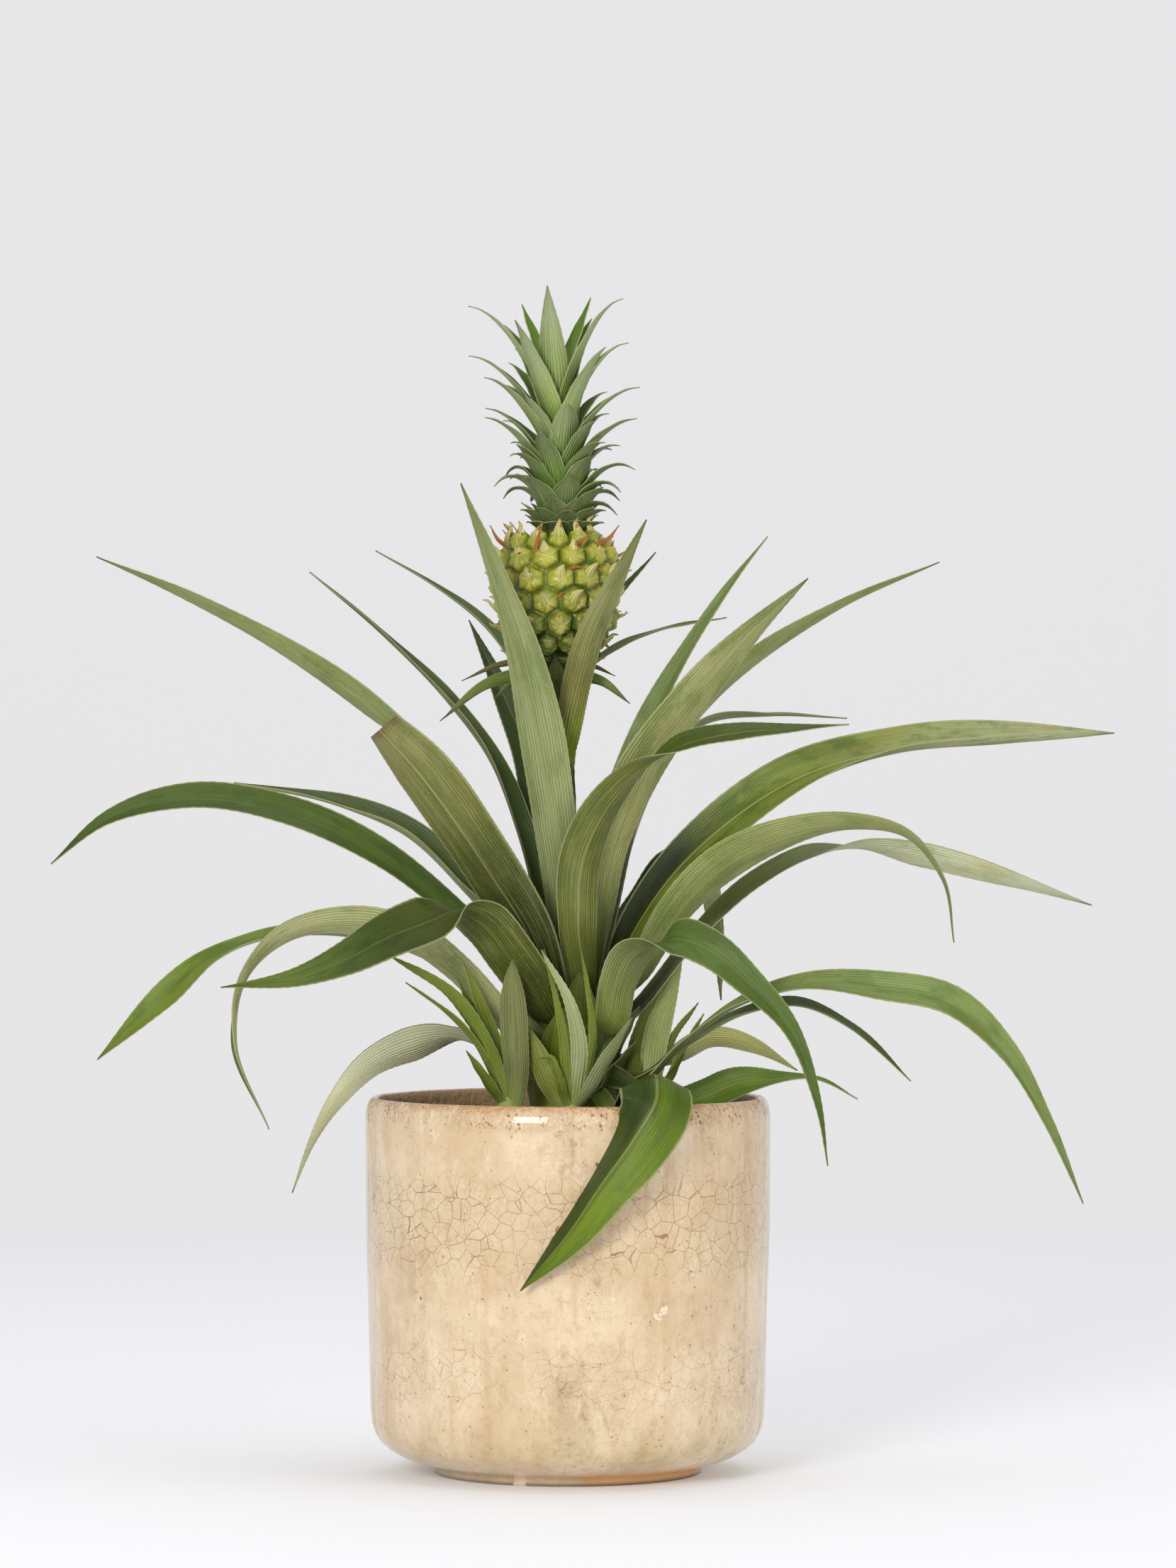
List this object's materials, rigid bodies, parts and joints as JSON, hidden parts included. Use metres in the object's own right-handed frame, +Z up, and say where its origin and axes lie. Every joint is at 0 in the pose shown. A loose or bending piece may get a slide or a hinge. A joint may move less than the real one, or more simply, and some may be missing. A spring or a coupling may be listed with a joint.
{
  "type": "potted pineapple plant",
  "caption": "Ornamental pineapple plant with long arching strap leaves, a small fruit with a leafy crown on a stalk and young shoots at its foot, in a round glazed pot.",
  "frame": {"origin": "middle of the pot's flat foot, on the surface it stands on", "axes": "+Z up along the pot's axis; -Y is the side that faces the viewer of the picture, +X is that viewer's right"},
  "size_m": [0.4168, 0.1868, 0.4674],
  "materials": {
    "pot_glaze": "glossy cream glaze with brown crackle lines",
    "soil": "loose dark potting mix",
    "stem": "green to brownish stalk, satin",
    "fruit": "yellow green knobbly rind, satin",
    "crown": "satin green leaves with a grey bloom",
    "leaf": "satin dark green above, grey green below",
    "shoot": "satin pale green"
  },
  "bodies": {
    "root": {"pot": "pot_glaze", "potting_soil": "soil", "stem": "stem", "fruit": "fruit", "fruit_crown": "crown", "leaf_stalk_back": "leaf", "leaf_stalk_front": "leaf", "leaf_tall_front": "leaf", "leaf_back_hidden": "leaf", "leaf_back_upright": "leaf", "leaf_right_upright": "leaf", "leaf_right_broad": "leaf", "leaf_back_left_narrow": "leaf", "leaf_back_left_high": "leaf", "leaf_right_level": "leaf", "leaf_arched_right": "leaf", "leaf_cut_tip": "leaf", "leaf_back_right_long": "leaf", "leaf_back_left_long": "leaf", "leaf_long_right": "leaf", "leaf_arched_left": "leaf", "leaf_arched_left_behind": "leaf", "leaf_hooked_right": "leaf", "leaf_folded_left": "leaf", "leaf_folded_right": "leaf", "leaf_drooping_back": "leaf", "leaf_twisted_right": "leaf", "leaf_hooked_left": "leaf", "leaf_pale_low_right": "leaf", "leaf_low_left": "leaf", "leaf_long_low_right": "leaf", "leaf_pale_left": "leaf", "leaf_narrow_low_right": "leaf", "leaf_over_rim": "leaf", "leaf_draped_front": "leaf", "shoot_left": "shoot", "shoot_front": "shoot", "shoot_right": "shoot"}
  },
  "joints": []
}
